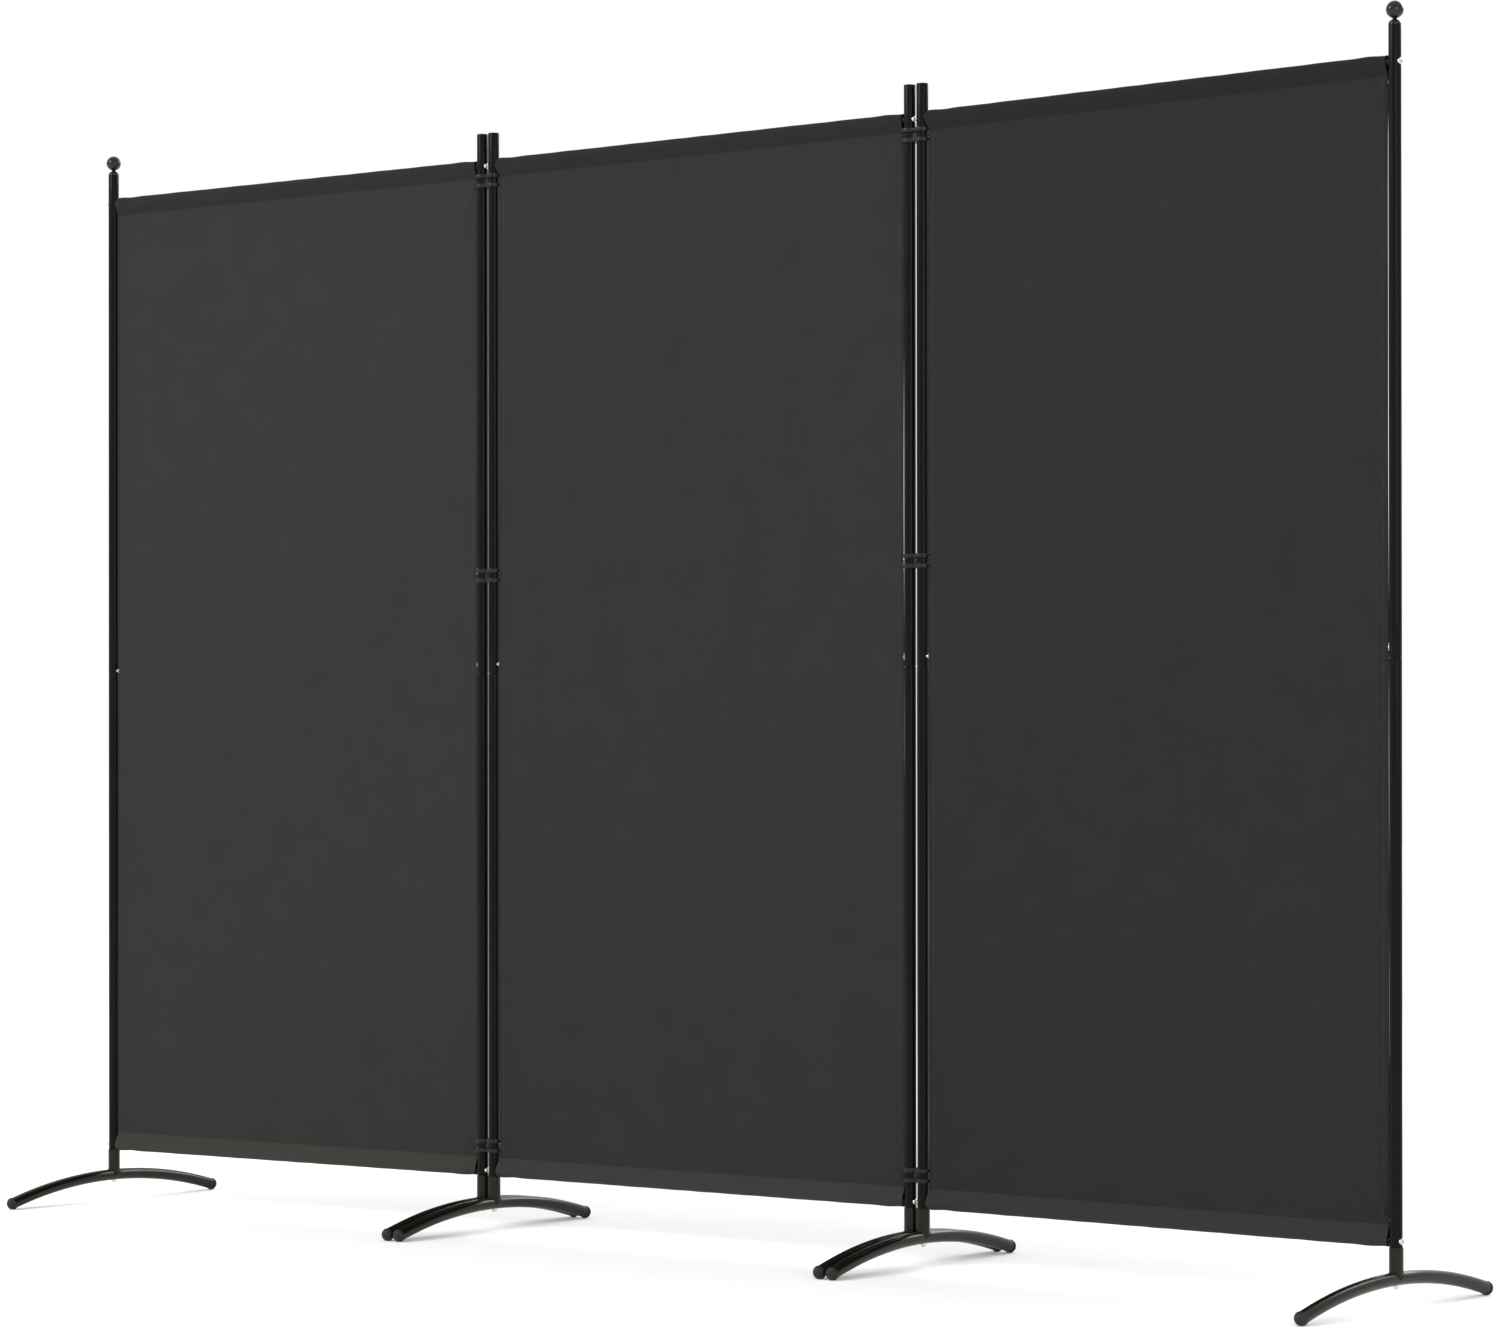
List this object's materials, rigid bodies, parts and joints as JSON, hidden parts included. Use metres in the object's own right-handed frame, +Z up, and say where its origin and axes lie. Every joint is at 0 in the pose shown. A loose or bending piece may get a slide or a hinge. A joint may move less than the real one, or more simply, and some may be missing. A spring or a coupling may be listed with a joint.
{
  "type": "folding room divider screen",
  "caption": "Free-standing folding screen: cloth panels on tube frames with arched swivelling feet, joined by swivel clips.",
  "frame": {"origin": "on the floor under the middle panel's centre line, midway between the frontmost and the backmost foot", "axes": "+X along the middle panel to the viewer's right, +Y to the back of the screen, +Z up"},
  "size_m": [2.5996, 0.5252, 1.813],
  "materials": {
    "post_tube": "gloss black powder coat",
    "bar_tube": "gloss black powder coat",
    "foot_tube": "gloss black powder coat",
    "foot_cap": "moulded black, fine satin",
    "clip": "moulded black, satin",
    "post_plug": "moulded black, satin",
    "finial": "gloss black",
    "snap_button": "bright zinc plate",
    "bolt": "bright zinc plate",
    "cloth": "charcoal plain-weave polyester"
  },
  "bodies": {
    "middle_panel": {"middle_panel_left_post_upper_tube": "post_tube", "middle_panel_left_post_lower_tube": "post_tube", "middle_panel_left_post_plug": "post_plug", "middle_panel_right_post_upper_tube": "post_tube", "middle_panel_right_post_lower_tube": "post_tube", "middle_panel_right_post_plug": "post_plug", "middle_panel_top_bar": "bar_tube", "middle_panel_bottom_bar": "bar_tube", "middle_panel_cloth": "cloth"},
    "left_panel": {"left_panel_left_post_upper_tube": "post_tube", "left_panel_left_post_lower_tube": "post_tube", "left_panel_left_post_finial": "finial", "left_panel_right_post_upper_tube": "post_tube", "left_panel_right_post_lower_tube": "post_tube", "left_panel_right_post_plug": "post_plug", "left_panel_top_bar": "bar_tube", "left_panel_bottom_bar": "bar_tube", "left_panel_cloth": "cloth"},
    "right_panel": {"right_panel_left_post_upper_tube": "post_tube", "right_panel_left_post_lower_tube": "post_tube", "right_panel_left_post_plug": "post_plug", "right_panel_right_post_upper_tube": "post_tube", "right_panel_right_post_lower_tube": "post_tube", "right_panel_right_post_finial": "finial", "right_panel_top_bar": "bar_tube", "right_panel_bottom_bar": "bar_tube", "right_panel_cloth": "cloth"},
    "left_clips": {"left_junction_bottom_clip": "clip", "left_junction_middle_clip": "clip", "left_junction_top_clip": "clip"},
    "right_clips": {"right_junction_bottom_clip": "clip", "right_junction_middle_clip": "clip", "right_junction_top_clip": "clip"},
    "left_panel_left_foot": {"left_panel_left_foot": "foot_tube", "left_panel_left_foot_front_cap": "foot_cap", "left_panel_left_foot_back_cap": "foot_cap"},
    "left_panel_right_foot": {"left_panel_right_foot": "foot_tube", "left_panel_right_foot_front_cap": "foot_cap", "left_panel_right_foot_back_cap": "foot_cap"},
    "middle_panel_left_foot": {"middle_panel_left_foot": "foot_tube", "middle_panel_left_foot_front_cap": "foot_cap", "middle_panel_left_foot_back_cap": "foot_cap"},
    "middle_panel_right_foot": {"middle_panel_right_foot": "foot_tube", "middle_panel_right_foot_front_cap": "foot_cap", "middle_panel_right_foot_back_cap": "foot_cap"},
    "right_panel_left_foot": {"right_panel_left_foot": "foot_tube", "right_panel_left_foot_front_cap": "foot_cap", "right_panel_left_foot_back_cap": "foot_cap"},
    "right_panel_right_foot": {"right_panel_right_foot": "foot_tube", "right_panel_right_foot_front_cap": "foot_cap", "right_panel_right_foot_back_cap": "foot_cap"},
    "left_panel_left_button": {"left_panel_left_post_button": "snap_button"},
    "left_panel_right_button": {"left_panel_right_post_button": "snap_button"},
    "middle_panel_left_button": {"middle_panel_left_post_button": "snap_button"},
    "middle_panel_right_button": {"middle_panel_right_post_button": "snap_button"},
    "right_panel_left_button": {"right_panel_left_post_button": "snap_button"},
    "right_panel_right_button": {"right_panel_right_post_button": "snap_button"}
  },
  "joints": [
    {"name": "left_fold", "type": "hinge", "parent": "middle_panel", "child": "left_clips", "pos_m": [-0.42, 0.01932, 0], "axis": [0, 0, 1], "range_deg": [-70.7, 69.2]},
    {"name": "left_wing_swivel", "type": "hinge", "parent": "left_clips", "child": "left_panel", "pos_m": [-0.444, 0.01901, 0], "axis": [0, 0, 1], "range_deg": [-70.7, 69.2]},
    {"name": "middle_left_foot_swivel", "type": "hinge", "parent": "middle_panel", "child": "middle_panel_left_foot", "pos_m": [-0.42, 0.01932, 0], "axis": [0, 0, 1], "range_deg": [-70.7, 69.2]},
    {"name": "left_wing_foot_swivel", "type": "hinge", "parent": "left_panel", "child": "left_panel_right_foot", "pos_m": [-0.444, 0.01901, 0], "axis": [0, 0, 1], "range_deg": [-69.2, 70.7]},
    {"name": "right_fold", "type": "hinge", "parent": "middle_panel", "child": "right_clips", "pos_m": [0.42, 0.01932, 0], "axis": [0, 0, 1], "range_deg": [-68.7, 71.3]},
    {"name": "right_wing_swivel", "type": "hinge", "parent": "right_clips", "child": "right_panel", "pos_m": [0.44399, 0.01878, 0], "axis": [0, 0, 1], "range_deg": [-68.7, 71.3]},
    {"name": "middle_right_foot_swivel", "type": "hinge", "parent": "middle_panel", "child": "middle_panel_right_foot", "pos_m": [0.42, 0.01932, 0], "axis": [0, 0, 1], "range_deg": [-68.7, 71.3]},
    {"name": "right_wing_foot_swivel", "type": "hinge", "parent": "right_panel", "child": "right_panel_left_foot", "pos_m": [0.44399, 0.01878, 0], "axis": [0, 0, 1], "range_deg": [-71.3, 68.7]},
    {"name": "left_end_foot_swivel", "type": "hinge", "parent": "left_panel", "child": "left_panel_left_foot", "pos_m": [-1.28371, -0.00298, 0], "axis": [0, 0, 1], "range_deg": [-90, 90]},
    {"name": "right_end_foot_swivel", "type": "hinge", "parent": "right_panel", "child": "right_panel_right_foot", "pos_m": [1.28313, -0.01932, 0], "axis": [0, 0, 1], "range_deg": [-90, 90]},
    {"name": "left_panel_left_button_press", "type": "slide", "parent": "left_panel", "child": "left_panel_left_button", "axis": [-0.9997, -0.0262, 0], "range_m": [0, 0.0026], "stiffness_N_per_m": 1000},
    {"name": "left_panel_right_button_press", "type": "slide", "parent": "left_panel", "child": "left_panel_right_button", "axis": [0.9997, 0.0262, 0], "range_m": [0, 0.0026], "stiffness_N_per_m": 1000},
    {"name": "middle_panel_left_button_press", "type": "slide", "parent": "middle_panel", "child": "middle_panel_left_button", "axis": [-1, 0, 0], "range_m": [0, 0.0026], "stiffness_N_per_m": 1000},
    {"name": "middle_panel_right_button_press", "type": "slide", "parent": "middle_panel", "child": "middle_panel_right_button", "axis": [1, 0, 0], "range_m": [0, 0.0026], "stiffness_N_per_m": 1000},
    {"name": "right_panel_left_button_press", "type": "slide", "parent": "right_panel", "child": "right_panel_left_button", "axis": [-0.999, 0.0454, 0], "range_m": [0, 0.0026], "stiffness_N_per_m": 1000},
    {"name": "right_panel_right_button_press", "type": "slide", "parent": "right_panel", "child": "right_panel_right_button", "axis": [0.999, -0.0454, 0], "range_m": [0, 0.0026], "stiffness_N_per_m": 1000}
  ],
  "couplings": [
    {"joint": "middle_left_foot_swivel", "follows": "left_fold", "ratio": 1},
    {"joint": "left_wing_foot_swivel", "follows": "left_wing_swivel", "ratio": -1},
    {"joint": "middle_right_foot_swivel", "follows": "right_fold", "ratio": 1},
    {"joint": "right_wing_foot_swivel", "follows": "right_wing_swivel", "ratio": -1}
  ]
}
